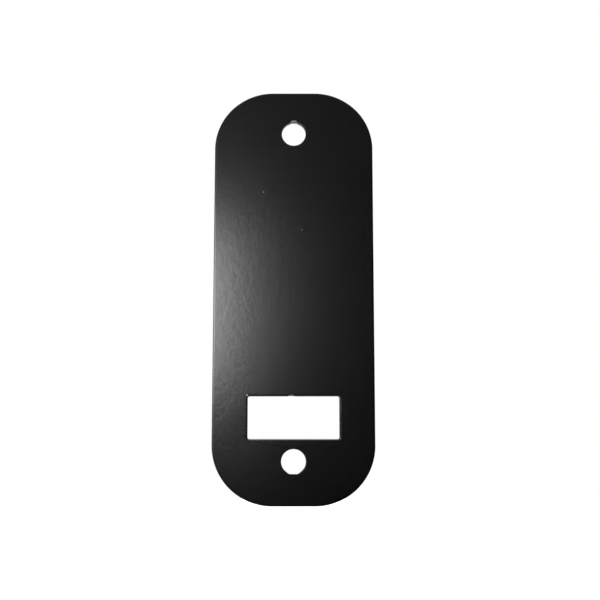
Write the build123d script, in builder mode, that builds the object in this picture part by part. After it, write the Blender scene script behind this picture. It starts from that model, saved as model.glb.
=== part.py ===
from build123d import *
import os

os.makedirs("parts", exist_ok=True)

# Door chain guard: a flat steel plate with big round corners, a screw hole near each end and a
# window for the chain, powder coated all over. Millimetres, +Z up along the plate. The back face
# lies in the plane Y = 0 and the front looks along -Y. The origin is midway between the screws.

# Finished sizes, over the coating
plate_width = 44.5
plate_height = 116.0
plate_thickness = 1.7
corner_radius = 16.4
screw_hole_radius = 3.35
screw_spacing = 92.0
window_width = 25.0
window_height = 11.6
window_corner_radius = 0.5
window_centre_z = -34.1

# The press rolls the front edges over a little more than it breaks the back ones
front_edge_radius = 0.35
back_edge_radius = 0.25

# Coating, and the bare marks that the wire hooks of the coating line leave in it. A mark's reach
# is how far it runs into the plate from the finished wall of its opening.
coat_thickness = 0.1
hook_wire_radius = 1.15
hook_cutter_length = 4 * plate_thickness
upper_mark_reach = 0.7
lower_mark_reach = 0.05
lower_mark_x = 0.8  # the two lower marks lie this far to either side
window_mark_reach = 0.45
window_mark_x = -0.6


def pierced_plate(inset):
    """The plate with every face moved in by inset, so 0 gives its finished surface."""
    with BuildPart() as plate:
        with BuildSketch(Plane.XZ.offset(inset)):
            RectangleRounded(
                plate_width - 2 * inset,
                plate_height - 2 * inset,
                corner_radius - inset,
            )
            with GridLocations(0, screw_spacing, 1, 2):
                Circle(screw_hole_radius + inset, mode=Mode.SUBTRACT)
            with Locations((0, window_centre_z)):
                RectangleRounded(
                    window_width + 2 * inset,
                    window_height + 2 * inset,
                    window_corner_radius + inset,
                    mode=Mode.SUBTRACT,
                )
        extrude(amount=plate_thickness - 2 * inset)
        front_face, back_face = plate.faces().filter_by(Axis.Y).sort_by(Axis.Y)
        fillet(front_face.edges(), radius=front_edge_radius - inset)
        fillet(back_face.edges(), radius=back_edge_radius - inset)
    return plate.part


finished_plate = pierced_plate(0)
bare_plate = pierced_plate(coat_thickness)

# The plate hung from a wire at the top of its upper hole, leaned on one at the top of its window
# and carried the next plate from a bent wire, with two legs, at the bottom of its lower hole. The
# wires kept the powder off where they pressed on the steel.
upper_wire_z = screw_spacing / 2 + screw_hole_radius + upper_mark_reach - hook_wire_radius
lower_wire_z = -screw_spacing / 2 - screw_hole_radius - lower_mark_reach + hook_wire_radius
window_wire_z = window_centre_z + window_height / 2 + window_mark_reach - hook_wire_radius
hook_places = [
    (0, 0, upper_wire_z),
    (-lower_mark_x, 0, lower_wire_z),
    (lower_mark_x, 0, lower_wire_z),
    (window_mark_x, 0, window_wire_z),
]


with BuildPart() as steel_plate:
    add(bare_plate)
steel_plate.part.label = "steel_plate"

with BuildPart() as powder_coat:
    add(finished_plate)
    add(bare_plate, mode=Mode.SUBTRACT)
    with Locations(*hook_places):
        Cylinder(
            hook_wire_radius,
            hook_cutter_length,
            rotation=(90, 0, 0),
            mode=Mode.SUBTRACT,
        )
powder_coat.part.label = "powder_coat"

export_step(steel_plate.part, "parts/steel_plate.step")
export_step(powder_coat.part, "parts/powder_coat.step")
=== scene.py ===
import bpy
import math
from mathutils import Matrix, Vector


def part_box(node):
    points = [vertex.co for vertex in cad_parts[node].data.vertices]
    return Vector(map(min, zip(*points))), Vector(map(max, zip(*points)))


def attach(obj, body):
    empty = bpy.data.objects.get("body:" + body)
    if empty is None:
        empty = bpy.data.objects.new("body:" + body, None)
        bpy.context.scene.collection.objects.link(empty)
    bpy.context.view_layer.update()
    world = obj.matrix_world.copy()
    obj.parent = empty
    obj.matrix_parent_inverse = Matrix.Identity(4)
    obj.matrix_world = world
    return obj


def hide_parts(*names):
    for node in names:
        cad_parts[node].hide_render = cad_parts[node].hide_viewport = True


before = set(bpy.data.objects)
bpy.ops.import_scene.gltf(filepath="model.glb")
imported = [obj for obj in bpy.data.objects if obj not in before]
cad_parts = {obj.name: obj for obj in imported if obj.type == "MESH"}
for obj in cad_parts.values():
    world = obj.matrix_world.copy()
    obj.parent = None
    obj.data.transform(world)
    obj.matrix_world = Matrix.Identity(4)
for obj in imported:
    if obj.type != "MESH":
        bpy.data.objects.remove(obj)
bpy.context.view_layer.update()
plateLow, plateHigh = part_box("powder_coat")
mm = 0.001
print("frame loaded, plate is", [round(size / mm, 2) for size in plateHigh - plateLow], "mm")


def deselectAll():
    bpy.ops.object.select_all(action="DESELECT")


def makeActive(piece):
    deselectAll()
    piece.select_set(True)
    bpy.context.view_layer.objects.active = piece


def startSelection(piece, selectType):
    makeActive(piece)
    bpy.ops.object.mode_set(mode="EDIT")
    bpy.ops.mesh.select_mode(type=selectType)
    bpy.ops.mesh.select_all(action="DESELECT")
    bpy.ops.object.mode_set(mode="OBJECT")


# the selection is made in object mode, then edit mode picks it up
def operate(operator, **settings):
    bpy.ops.object.mode_set(mode="EDIT")
    operator(**settings)
    bpy.ops.object.mode_set(mode="OBJECT")


def applyPlace(piece):
    makeActive(piece)
    bpy.ops.object.transform_apply(location=True, rotation=True, scale=True)


def applyModifier(piece, kind, **settings):
    makeActive(piece)
    modifier = piece.modifiers.new(kind.lower(), kind)
    for name, value in settings.items():
        setattr(modifier, name, value)
    bpy.ops.object.modifier_apply(modifier=modifier.name)


def joinAll(pieces):
    deselectAll()
    for piece in pieces:
        piece.select_set(True)
    bpy.context.view_layer.objects.active = pieces[0]
    bpy.ops.object.join()
    return pieces[0]


camera = {
    "distance": 328.5 * mm,  # from the lens to the front face
    "below": math.radians(9.33),  # the lens looks up at the plate by this much
    "aim": Vector((1.77 * mm, plateLow.y, -1.68 * mm)),
    "lens": 71.2,
    "sensor": 36,
    "clipStart": 1 * mm,
}


def addCamera(values):
    back = Vector((0, -math.cos(values["below"]), -math.sin(values["below"])))
    place = values["aim"] + back * values["distance"]
    bpy.ops.object.camera_add(location=place, rotation=(math.pi / 2 + values["below"], 0, 0))
    lens = bpy.context.object
    lens.data.lens = values["lens"]
    lens.data.sensor_width = values["sensor"]
    lens.data.clip_start = values["clipStart"]
    bpy.context.scene.camera = lens


addCamera(camera)
print("camera placed")

studio = {
    "floorRadius": 700 * mm,
    "floorSides": 96,
    "floorColor": (0.9, 0.9, 0.895, 1),
    "floorRoughness": 0.9,
    "keyDistance": 600 * mm,
    "keySize": (219 * mm, 120 * mm),
    "keyTurn": math.radians(-16.35),  # to the left of the lens
    "keyRise": math.radians(8.8),
    "keyPower": 1.14,
    "topSize": (1100 * mm, 1100 * mm),
    "topPlace": Vector((0, 0, 950 * mm)),
    "topPower": 25,
    "rearSize": (350 * mm, 500 * mm),
    "rearPlace": Vector((550 * mm, 620 * mm, 220 * mm)),
    "rearPower": 2,
    "ahead": (0.284, -0.945, -0.161),  # where the tent is dark, about the way the plate faces
    "frontGlow": 0.002,
    "sideGlow": 0.35,
    "rearGlow": 1,
    "frontFade": (0.7, 0.933),  # cosines of the angle from ahead between which the tent fades
    "rearFade": (-0.3, -0.75),
    "backdrop": 1.0,
    "white": (1, 1, 1, 1),
}


def addFloor(values):
    bpy.ops.mesh.primitive_circle_add(
        vertices=values["floorSides"], radius=values["floorRadius"], fill_type="NGON",
        location=(0, 0, plateLow.z),
    )
    floor = bpy.context.object
    floor.name = "floor"
    floor.visible_glossy = False
    paint = bpy.data.materials.new("palePaper")
    paint.use_nodes = True
    shader = paint.node_tree.nodes["Principled BSDF"]
    shader.inputs["Base Color"].default_value = values["floorColor"]
    shader.inputs["Roughness"].default_value = values["floorRoughness"]
    shader.inputs["Specular IOR Level"].default_value = 0
    floor.data.materials.append(paint)


def addSoftLight(name, place, target, size, power):
    bpy.ops.object.light_add(type="AREA", location=place)
    light = bpy.context.object
    light.name = name
    light.rotation_euler = (target - place).to_track_quat("-Z", "Y").to_euler()
    light.data.shape = "RECTANGLE"
    light.data.size, light.data.size_y = size
    light.data.energy = power


def addLights(values):
    turn, rise = values["keyTurn"], values["keyRise"]
    level = math.cos(rise)
    toKey = Vector((math.sin(turn) * level, -math.cos(turn) * level, math.sin(rise)))
    keyPlace = camera["aim"] + toKey * values["keyDistance"]
    middle = Vector((0, 0, 0))
    addSoftLight("keyLight", keyPlace, camera["aim"], values["keySize"], values["keyPower"])
    addSoftLight("topLight", values["topPlace"], middle, values["topSize"], values["topPower"])
    addSoftLight("rearLight", values["rearPlace"], middle, values["rearSize"], values["rearPower"])


# a smooth change from one strength to another over a range of cosines
def addFade(tree, cosine, span, first, last):
    fade = tree.nodes.new("ShaderNodeMapRange")
    fade.interpolation_type = "SMOOTHSTEP"
    fade.inputs["From Min"].default_value = span[0]
    fade.inputs["From Max"].default_value = span[1]
    fade.inputs["To Min"].default_value = first
    fade.inputs["To Max"].default_value = last
    tree.links.new(cosine, fade.inputs["Value"])
    return fade.outputs["Result"]


# white behind the plate for the lens, and for everything else a tent that is dark straight ahead
# and as bright as the backdrop behind
def addSurroundings(values):
    world = bpy.data.worlds.new("studioTent")
    bpy.context.scene.world = world
    world.use_nodes = True
    tree = world.node_tree
    tree.nodes.clear()
    add, link = tree.nodes.new, tree.links.new
    direction = add("ShaderNodeTexCoord")
    ahead = add("ShaderNodeVectorMath")
    ahead.operation = "DOT_PRODUCT"
    ahead.inputs[1].default_value = values["ahead"]
    cosine = ahead.outputs["Value"]
    side = values["sideGlow"]
    front = addFade(tree, cosine, values["frontFade"], side, values["frontGlow"])
    rear = addFade(tree, cosine, values["rearFade"], 0, values["rearGlow"] - side)
    glow = add("ShaderNodeMath")
    tent = add("ShaderNodeBackground")
    tent.inputs["Color"].default_value = values["white"]
    backdrop = add("ShaderNodeBackground")
    backdrop.inputs["Color"].default_value = values["white"]
    backdrop.inputs["Strength"].default_value = values["backdrop"]
    rays = add("ShaderNodeLightPath")
    mix = add("ShaderNodeMixShader")
    out = add("ShaderNodeOutputWorld")
    link(direction.outputs["Generated"], ahead.inputs[0])
    link(front, glow.inputs[0])
    link(rear, glow.inputs[1])
    link(glow.outputs["Value"], tent.inputs["Strength"])
    link(rays.outputs["Is Camera Ray"], mix.inputs["Fac"])
    link(tent.outputs["Background"], mix.inputs[1])
    link(backdrop.outputs["Background"], mix.inputs[2])
    link(mix.outputs["Shader"], out.inputs["Surface"])
    bpy.context.scene.view_settings.view_transform = "Standard"


addFloor(studio)
addLights(studio)
addSurroundings(studio)
print("studio set")

coat = {
    "thickness": 0.1 * mm,
    "cornerRadius": 16.4 * mm,
    "cornerSegments": 40,
    "holeRadius": 3.35 * mm,
    "holeRise": 46 * mm,
    "holeSegments": 112,
    "windowSize": (25 * mm, 11.6 * mm),
    "windowRise": -34.1 * mm,
    "windowCorner": 0.5 * mm,
    "windowSegments": 8,
    "rollWidth": 0.45 * mm,  # the press draws the front face down along the outline
    "rollDepth": 0.05 * mm,
    "rollSegments": 6,
    "outlineRound": 0.13 * mm,
    "windowRound": 0.5 * mm,
    "holeRound": 0.22 * mm,
    "backRound": 0.25 * mm,
    "roundSegments": 5,
    "smoothAngle": math.radians(40),
    "evenFaces": 100,  # how far each normal is pulled towards its largest face
    "sameDepth": 0.01 * mm,  # edges lie in a flat when their depths differ by less
    "sliver": 0.0004 * mm,  # points closer than this are merged after a cut
    "wireRadius": 1.15 * mm,
    "wireLength": 10 * mm,
    "wireSegments": 64,
}


# points of an edge's section as (how far in from the side, how deep behind the face, tilt),
# from the flat to the wall
def rolledEdge(width, depth, rollSegments, radius, roundSegments):
    tip = math.atan2(2 * depth, width)
    steps = []
    for step in range(rollSegments):
        share = step / rollSegments
        into = radius * (1 - math.sin(tip)) + width * (1 - share)
        steps.append((into, depth * share ** 2, math.atan(2 * depth * share / width)))
    for step in range(roundSegments + 1):
        tilt = tip + (math.pi / 2 - tip) * step / roundSegments
        deep = depth + radius * (math.cos(tip) - math.cos(tilt))
        steps.append((radius * (1 - math.sin(tilt)), deep, tilt))
    return steps


def roundedEdge(radius, segments):
    steps = []
    for step in range(segments + 1):
        tilt = math.pi / 2 * step / segments
        steps.append((radius * (1 - math.sin(tilt)), radius * (1 - math.cos(tilt)), tilt))
    return steps


# the whole section of one wall from the front flat to the back flat, moved into the metal by inset
def wallSection(front, back, thick, inset):
    section = []
    for into, deep, tilt in front:
        section.append((into + inset * math.sin(tilt), deep + inset * math.cos(tilt)))
    for into, deep, tilt in reversed(back):
        section.append((into + inset * math.sin(tilt), thick - deep - inset * math.cos(tilt)))
    return section


# a rounded rectangle of bare edges, standing at this depth
def drawRectangle(width, height, corner, segments, rise, depth):
    bpy.ops.mesh.primitive_plane_add(
        size=1, location=(0, depth, rise), rotation=(math.pi / 2, 0, 0)
    )
    drawn = bpy.context.object
    drawn.scale = (width, height, 1)
    applyPlace(drawn)
    bpy.ops.object.mode_set(mode="EDIT")
    bpy.ops.mesh.select_mode(type="VERT")
    bpy.ops.mesh.select_all(action="SELECT")
    bpy.ops.mesh.bevel(offset=corner, segments=segments, affect="VERTICES")
    bpy.ops.mesh.select_all(action="SELECT")
    bpy.ops.mesh.delete(type="ONLY_FACE")
    bpy.ops.object.mode_set(mode="OBJECT")
    return drawn


def drawCircle(radius, segments, rise, depth):
    bpy.ops.mesh.primitive_circle_add(
        vertices=segments, radius=radius, fill_type="NOTHING",
        location=(0, depth, rise), rotation=(math.pi / 2, 0, 0),
    )
    drawn = bpy.context.object
    applyPlace(drawn)
    return drawn


# the loops were joined in order, so loop number n holds the nth share of the points
def bridgeLoops(loops):
    loopCount = len(loops)
    wall = joinAll(loops)
    share = len(wall.data.vertices) // loopCount
    for first in range(loopCount - 1):
        startSelection(wall, "EDGE")
        low, high = first * share, (first + 2) * share
        for edge in wall.data.edges:
            edge.select = all(low <= point < high for point in edge.vertices)
        operate(bpy.ops.mesh.bridge_edge_loops)
    return wall


# closes one side of the plate, between the loops that still have no face inside them
def fillFlat(plate, depth):
    startSelection(plate, "EDGE")
    used = {}
    for face in plate.data.polygons:
        for key in face.edge_keys:
            used[key] = used.get(key, 0) + 1
    for edge in plate.data.edges:
        middle = sum(plate.data.vertices[point].co.y for point in edge.vertices) / 2
        edge.select = used.get(edge.key) == 1 and abs(middle - depth) < coat["sameDepth"]
    operate(bpy.ops.mesh.fill, use_beauty=True)


# the plate with its whole surface moved in by inset: the walls of its outline, window and holes
# are drawn as loops down the section of the edge and bridged, then both flats are filled
def addPlate(values, inset, name):
    size = plateHigh - plateLow
    segments = values["roundSegments"]
    back = roundedEdge(values["backRound"], segments)
    rolled = rolledEdge(
        values["rollWidth"], values["rollDepth"], values["rollSegments"],
        values["outlineRound"], segments,
    )
    windowEdge = roundedEdge(values["windowRound"], segments)
    holeEdge = roundedEdge(values["holeRound"], segments)
    walls = [
        bridgeLoops([
            drawRectangle(
                size.x - 2 * into, size.z - 2 * into, values["cornerRadius"] - into,
                values["cornerSegments"], 0, plateLow.y + deep,
            )
            for into, deep in wallSection(rolled, back, size.y, inset)
        ]),
        bridgeLoops([
            drawRectangle(
                values["windowSize"][0] + 2 * into, values["windowSize"][1] + 2 * into,
                values["windowCorner"] + into, values["windowSegments"], values["windowRise"],
                plateLow.y + deep,
            )
            for into, deep in wallSection(windowEdge, back, size.y, inset)
        ]),
    ]
    for side in (1, -1):
        walls.append(bridgeLoops([
            drawCircle(
                values["holeRadius"] + into, values["holeSegments"],
                side * values["holeRise"], plateLow.y + deep,
            )
            for into, deep in wallSection(holeEdge, back, size.y, inset)
        ]))
    plate = joinAll(walls)
    plate.name = name
    fillFlat(plate, plateLow.y + inset)
    fillFlat(plate, plateHigh.y - inset)
    makeActive(plate)
    bpy.ops.object.mode_set(mode="EDIT")
    bpy.ops.mesh.select_all(action="SELECT")
    bpy.ops.mesh.normals_make_consistent(inside=False)
    bpy.ops.object.mode_set(mode="OBJECT")
    return plate


# points that the cut leaves almost on top of each other are merged before the next one
def combine(piece, form, operation):
    applyModifier(piece, "BOOLEAN", operation=operation, solver="EXACT", object=form)
    bpy.data.objects.remove(form, do_unlink=True)
    startSelection(piece, "VERT")
    operate(bpy.ops.mesh.select_all, action="SELECT")
    operate(bpy.ops.mesh.remove_doubles, threshold=coat["sliver"])


def cutWith(piece, cutter):
    combine(piece, cutter, "DIFFERENCE")


def addWire(values, across, rise):
    bpy.ops.mesh.primitive_cylinder_add(
        vertices=values["wireSegments"], radius=values["wireRadius"], depth=values["wireLength"],
        location=(across, 0, rise), rotation=(math.pi / 2, 0, 0),
    )
    wire = bpy.context.object
    applyPlace(wire)
    return wire


# where the hooks of the coating line pressed on the steel: how far across each mark lies, and how
# far it runs into the plate from the finished wall of its opening
marks = {
    "upperHole": ((0, 0.7 * mm),),
    "lowerHole": ((-0.8 * mm, 0.05 * mm), (0.8 * mm, 0.05 * mm)),
    "window": ((-0.6 * mm, 0.45 * mm),),
    "chipRadius": 0.3 * mm,  # a knock on the window's upper left corner
    "chipDetail": 3,
    "chipPlace": Vector((-12.7 * mm, plateLow.y + 0.12 * mm, -27.98 * mm)),
}


def addMarks(skin, values):
    holeEdge = coat["holeRise"] + coat["holeRadius"] - coat["wireRadius"]
    windowEdge = coat["windowRise"] + coat["windowSize"][1] / 2 - coat["wireRadius"]
    for across, reach in values["upperHole"]:
        cutWith(skin, addWire(coat, across, holeEdge + reach))
    for across, reach in values["lowerHole"]:
        cutWith(skin, addWire(coat, across, -holeEdge - reach))
    for across, reach in values["window"]:
        cutWith(skin, addWire(coat, across, windowEdge + reach))
    bpy.ops.mesh.primitive_ico_sphere_add(
        subdivisions=values["chipDetail"], radius=values["chipRadius"],
        location=values["chipPlace"],
    )
    chip = bpy.context.object
    applyPlace(chip)
    cutWith(skin, chip)


# dust in the powder: across, up and radius of each speck, and its height or depth at the face;
# the nibs still stand in it, and the one that fell out again has left a pit
dust = {
    "nibs": (
        (2.7 * mm, 18.4 * mm, 0.5 * mm, 0.032 * mm),
        (14.2 * mm, -22.5 * mm, 0.36 * mm, 0.028 * mm),
    ),
    "nibRings": 16,
    "nibSegments": 32,
    "pits": ((-8.75 * mm, 28.95 * mm, 0.46 * mm, 0.05 * mm),),
    "pitRings": 64,
    "pitSegments": 96,
}


# a lens half sunk in the front face
def addNib(values, across, up, radius, height):
    bpy.ops.mesh.primitive_uv_sphere_add(
        segments=values["nibSegments"], ring_count=values["nibRings"], radius=1,
        location=(across, plateLow.y + height, up), rotation=(math.pi / 2, 0, 0),
    )
    nib = bpy.context.object
    nib.scale = (radius, radius, 2 * height)
    applyPlace(nib)
    return nib


# a large ball that dips into the front face in a circle of this radius
def addDimple(values, across, up, radius, depth):
    ball = (radius ** 2 + depth ** 2) / (2 * depth)
    bpy.ops.mesh.primitive_uv_sphere_add(
        segments=values["pitSegments"], ring_count=values["pitRings"], radius=ball,
        location=(across, plateLow.y + depth - ball, up), rotation=(math.pi / 2, 0, 0),
    )
    dimple = bpy.context.object
    applyPlace(dimple)
    return dimple


def addDust(skin, values):
    for pit in values["pits"]:
        cutWith(skin, addDimple(values, *pit))
    for nib in values["nibs"]:
        combine(skin, addNib(values, *nib), "UNION")


def addCoat(values):
    skin = addPlate(values, 0, "black_coat")
    cutWith(skin, addPlate(values, values["thickness"], "core_form"))
    addDust(skin, dust)
    addMarks(skin, marks)
    makeActive(skin)
    bpy.ops.object.shade_smooth_by_angle(angle=values["smoothAngle"])
    applyModifier(skin, "WEIGHTED_NORMAL", keep_sharp=True, weight=values["evenFaces"])
    return skin


skin = addCoat(coat)
print("coat modelled,", len(skin.data.polygons), "faces")


def startMaterial(name):
    material = bpy.data.materials.new(name)
    material.use_nodes = True
    nodes = material.node_tree.nodes
    place = nodes.new("ShaderNodeTexCoord")
    return material, nodes["Principled BSDF"], place.outputs["Object"]


def addNoise(material, place, scale, detail):
    noise = material.node_tree.nodes.new("ShaderNodeTexNoise")
    noise.inputs["Scale"].default_value = scale
    noise.inputs["Detail"].default_value = detail
    material.node_tree.links.new(place, noise.inputs["Vector"])
    return noise.outputs["Fac"]


noiseMiddle = (0.3, 0.7)


# the middle of the noise spread over this range
def addRange(material, value, low, high):
    spread = material.node_tree.nodes.new("ShaderNodeMapRange")
    spread.inputs["From Min"].default_value = noiseMiddle[0]
    spread.inputs["From Max"].default_value = noiseMiddle[1]
    spread.inputs["To Min"].default_value = low
    spread.inputs["To Max"].default_value = high
    material.node_tree.links.new(value, spread.inputs["Value"])
    return spread.outputs["Result"]


def addMix(material, factor, first, second):
    mix = material.node_tree.nodes.new("ShaderNodeMix")
    mix.data_type = "RGBA"
    mix.inputs["A"].default_value = (*first, 1)
    mix.inputs["B"].default_value = (*second, 1)
    material.node_tree.links.new(factor, mix.inputs["Factor"])
    return mix.outputs["Result"]


def addBump(material, height, distance, normal=None):
    bump = material.node_tree.nodes.new("ShaderNodeBump")
    bump.inputs["Distance"].default_value = distance
    bump.inputs["Strength"].default_value = 1
    material.node_tree.links.new(height, bump.inputs["Height"])
    if normal:
        material.node_tree.links.new(normal, bump.inputs["Normal"])
    return bump.outputs["Normal"]


coatFinish = {
    "dark": (0.0010, 0.0010, 0.0010),
    "light": (0.0016, 0.0016, 0.0016),
    "cloudScale": 60,
    "cloudDetail": 3,
    "gloss": (0.182, 0.190),
    "smearScale": 45,
    "smearDetail": 4,
    "peelScale": 1100,
    "peelDetail": 3,
    "peelHeight": 0.0075 * mm,
    "waveScale": 420,
    "waveDetail": 1,
    "waveHeight": 0.008 * mm,
}


def blackCoatMaterial(values):
    material, shader, place = startMaterial("blackPowderCoat")
    link = material.node_tree.links.new
    cloud = addNoise(material, place, values["cloudScale"], values["cloudDetail"])
    shade = addRange(material, cloud, 0, 1)
    link(addMix(material, shade, values["dark"], values["light"]), shader.inputs["Base Color"])
    smear = addNoise(material, place, values["smearScale"], values["smearDetail"])
    link(addRange(material, smear, *values["gloss"]), shader.inputs["Roughness"])
    peel = addNoise(material, place, values["peelScale"], values["peelDetail"])
    wave = addNoise(material, place, values["waveScale"], values["waveDetail"])
    peelNormal = addBump(material, peel, values["peelHeight"])
    link(addBump(material, wave, values["waveHeight"], peelNormal), shader.inputs["Normal"])
    return material


steelFinish = {
    "dark": (0.16, 0.16, 0.165),
    "light": (0.3, 0.3, 0.3),
    "grainScale": 4000,
    "grainDetail": 3,
    "grainHeight": 0.002 * mm,
    "gloss": (0.35, 0.5),
}


def bareSteelMaterial(values):
    material, shader, place = startMaterial("bareSteel")
    link = material.node_tree.links.new
    shader.inputs["Metallic"].default_value = 1
    grain = addNoise(material, place, values["grainScale"], values["grainDetail"])
    shade = addRange(material, grain, 0, 1)
    link(addMix(material, shade, values["dark"], values["light"]), shader.inputs["Base Color"])
    link(addRange(material, grain, *values["gloss"]), shader.inputs["Roughness"])
    link(addBump(material, grain, values["grainHeight"]), shader.inputs["Normal"])
    return material


skin.data.materials.clear()
skin.data.materials.append(blackCoatMaterial(coatFinish))
steelPaint = bareSteelMaterial(steelFinish)
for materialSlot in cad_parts["steel_plate"].material_slots:
    materialSlot.material = steelPaint
print("materials made")

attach(skin, "root")
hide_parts("powder_coat")
